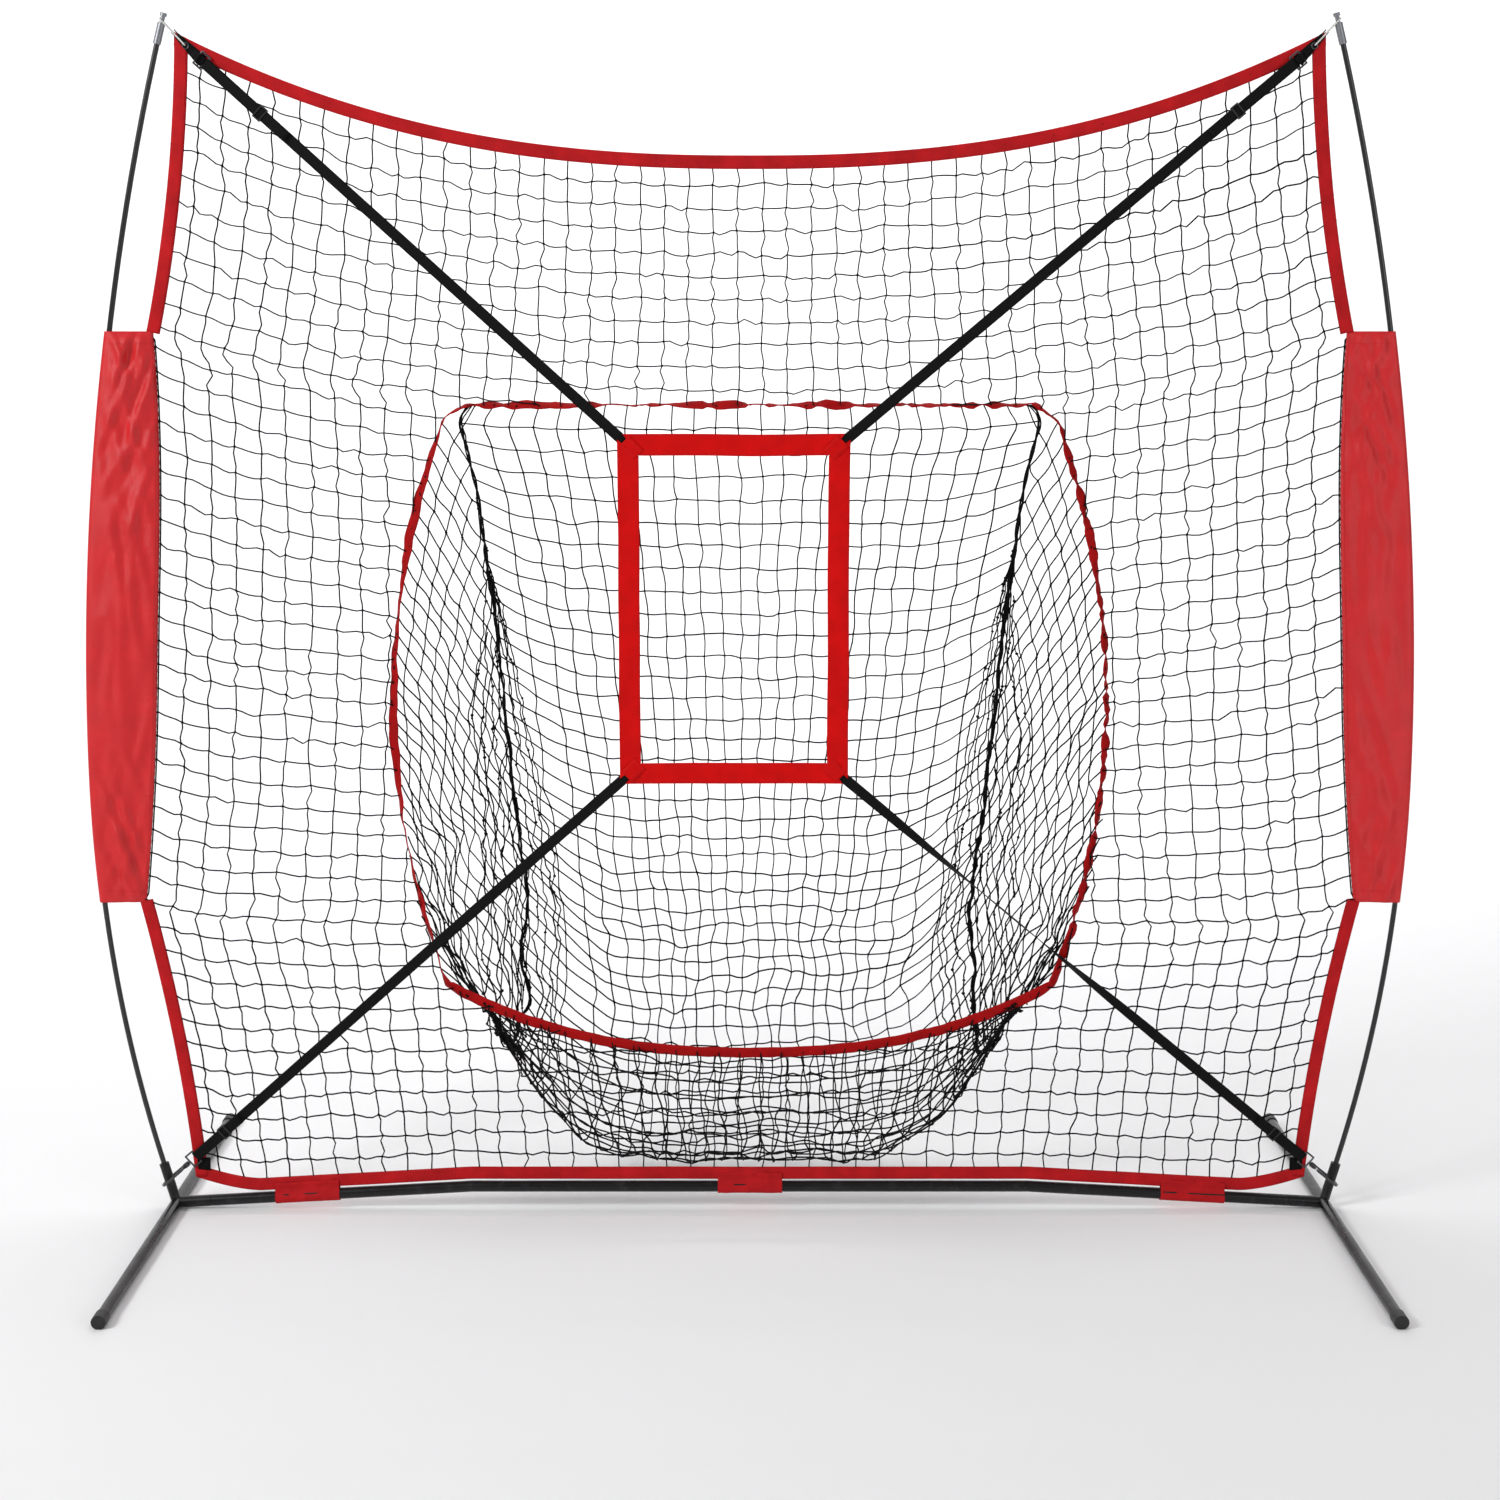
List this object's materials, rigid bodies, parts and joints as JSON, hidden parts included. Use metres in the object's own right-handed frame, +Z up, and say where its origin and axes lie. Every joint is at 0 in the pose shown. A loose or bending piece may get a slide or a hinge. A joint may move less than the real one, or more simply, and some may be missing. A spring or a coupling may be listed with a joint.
{
  "type": "pitching target net",
  "caption": "Free-standing bow-frame net with a ball pocket, red edge binding, pole sleeves and a strapped-on rectangular strike-zone target.",
  "frame": {"origin": "on the ground, midway between the two feet across and midway along them", "axes": "+Z up, +X to the right as the pitcher sees it, -Y towards the pitcher, +Y towards the pocket"},
  "size_m": [2.496, 1.08, 2.2468],
  "materials": {
    "frame_tube": "satin black powder coat",
    "foot_plastic": "matt black",
    "socket_metal": "matt black",
    "spring_steel": "satin",
    "fibreglass": "semi-gloss black",
    "ferrule_metal": "satin",
    "tip_metal": "satin",
    "elastic_cord": "braided",
    "netting": "knotless twine",
    "binding_cloth": "woven",
    "trim_cloth": "woven",
    "sleeve_satin": "satin weave",
    "target_cloth": "woven",
    "webbing": "ribbed webbing",
    "slide_plastic": "moulded",
    "hook_metal": "blackened"
  },
  "bodies": {
    "root": {"left_foot_tube": "frame_tube", "right_foot_tube": "frame_tube", "foot_caps": "foot_plastic", "left_pole_socket": "socket_metal", "right_pole_socket": "socket_metal", "left_bar_stub": "frame_tube", "right_bar_stub": "frame_tube", "left_side_bar": "frame_tube", "right_side_bar": "frame_tube", "center_bar": "frame_tube", "button_springs": "spring_steel", "left_lower_pole": "fibreglass", "right_lower_pole": "fibreglass", "left_middle_pole": "fibreglass", "right_middle_pole": "fibreglass", "left_upper_pole": "fibreglass", "right_upper_pole": "fibreglass", "pole_ferrules": "ferrule_metal", "pole_base_tips": "ferrule_metal", "left_pole_cap": "tip_metal", "right_pole_cap": "tip_metal", "shock_cords": "elastic_cord", "corner_elastics": "elastic_cord", "front_netting": "netting", "ball_pocket": "netting", "top_binding": "binding_cloth", "bottom_binding": "binding_cloth", "left_upper_binding": "binding_cloth", "right_upper_binding": "binding_cloth", "left_lower_binding": "binding_cloth", "right_lower_binding": "binding_cloth", "pocket_trim": "trim_cloth", "left_pole_sleeve": "sleeve_satin", "right_pole_sleeve": "sleeve_satin", "bar_tabs": "binding_cloth", "corner_patches": "webbing", "target_top_band": "target_cloth", "target_bottom_band": "target_cloth", "target_left_band": "target_cloth", "target_right_band": "target_cloth", "upper_left_strap": "webbing", "upper_right_strap": "webbing", "lower_left_strap": "webbing", "lower_right_strap": "webbing", "strap_rings": "hook_metal", "left_snap_eye": "hook_metal", "right_snap_eye": "hook_metal"},
    "upper_left_slide": {"upper_left_slide": "slide_plastic"},
    "upper_right_slide": {"upper_right_slide": "slide_plastic"},
    "lower_left_slide": {"lower_left_slide": "slide_plastic"},
    "lower_right_slide": {"lower_right_slide": "slide_plastic"},
    "left_stub_button": {"left_stub_button": "spring_steel"},
    "right_stub_button": {"right_stub_button": "spring_steel"},
    "left_bar_button": {"left_bar_button": "spring_steel"},
    "right_bar_button": {"right_bar_button": "spring_steel"},
    "left_snap_hook": {"left_snap_hook": "hook_metal"},
    "left_snap_gate": {"left_snap_gate": "hook_metal"},
    "right_snap_hook": {"right_snap_hook": "hook_metal"},
    "right_snap_gate": {"right_snap_gate": "hook_metal"}
  },
  "joints": [
    {"name": "upper_left_slide_travel", "type": "slide", "parent": "root", "child": "upper_left_slide", "axis": [0.7419, 0, -0.6706], "range_m": [-0.05, 0.04]},
    {"name": "upper_right_slide_travel", "type": "slide", "parent": "root", "child": "upper_right_slide", "axis": [-0.7663, 0, -0.6425], "range_m": [-0.05, 0.04]},
    {"name": "lower_left_slide_travel", "type": "slide", "parent": "root", "child": "lower_left_slide", "axis": [0.7465, 0, 0.6653], "range_m": [-0.018, 0.025]},
    {"name": "lower_right_slide_travel", "type": "slide", "parent": "root", "child": "lower_right_slide", "axis": [-0.7672, 0, 0.6414], "range_m": [-0.018, 0.025]},
    {"name": "left_stub_button_press", "type": "slide", "parent": "root", "child": "left_stub_button", "axis": [0, -1, 0], "range_m": [0, 0.0035], "stiffness_N_per_m": 800, "springref_m": -0.003},
    {"name": "right_stub_button_press", "type": "slide", "parent": "root", "child": "right_stub_button", "axis": [0, -1, 0], "range_m": [0, 0.0035], "stiffness_N_per_m": 800, "springref_m": -0.003},
    {"name": "left_bar_button_press", "type": "slide", "parent": "root", "child": "left_bar_button", "axis": [0, -1, 0], "range_m": [0, 0.0035], "stiffness_N_per_m": 800, "springref_m": -0.003},
    {"name": "right_bar_button_press", "type": "slide", "parent": "root", "child": "right_bar_button", "axis": [0, -1, 0], "range_m": [0, 0.0035], "stiffness_N_per_m": 800, "springref_m": -0.003},
    {"name": "left_snap_swivel", "type": "hinge", "parent": "root", "child": "left_snap_hook", "pos_m": [-1.09332, 0.03523, 0.08978], "axis": [0.7428, -0.0993, 0.662], "range_deg": [-6, 6]},
    {"name": "left_gate_hinge", "type": "hinge", "parent": "left_snap_hook", "child": "left_snap_gate", "pos_m": [-1.1071, 0.0215, 0.0775], "axis": [0.6653, 0, -0.7465], "range_deg": [0, 15], "stiffness_Nm_per_rad": 0.03, "springref_deg": -20.05},
    {"name": "right_snap_swivel", "type": "hinge", "parent": "root", "child": "right_snap_hook", "pos_m": [1.09234, 0.03523, 0.08864], "axis": [-0.7634, -0.0993, 0.6383], "range_deg": [-6, 6]},
    {"name": "right_gate_hinge", "type": "hinge", "parent": "right_snap_hook", "child": "right_snap_gate", "pos_m": [1.10649, 0.0215, 0.0768], "axis": [0.6414, 0, 0.7672], "range_deg": [0, 15], "stiffness_Nm_per_rad": 0.03, "springref_deg": -20.05}
  ]
}
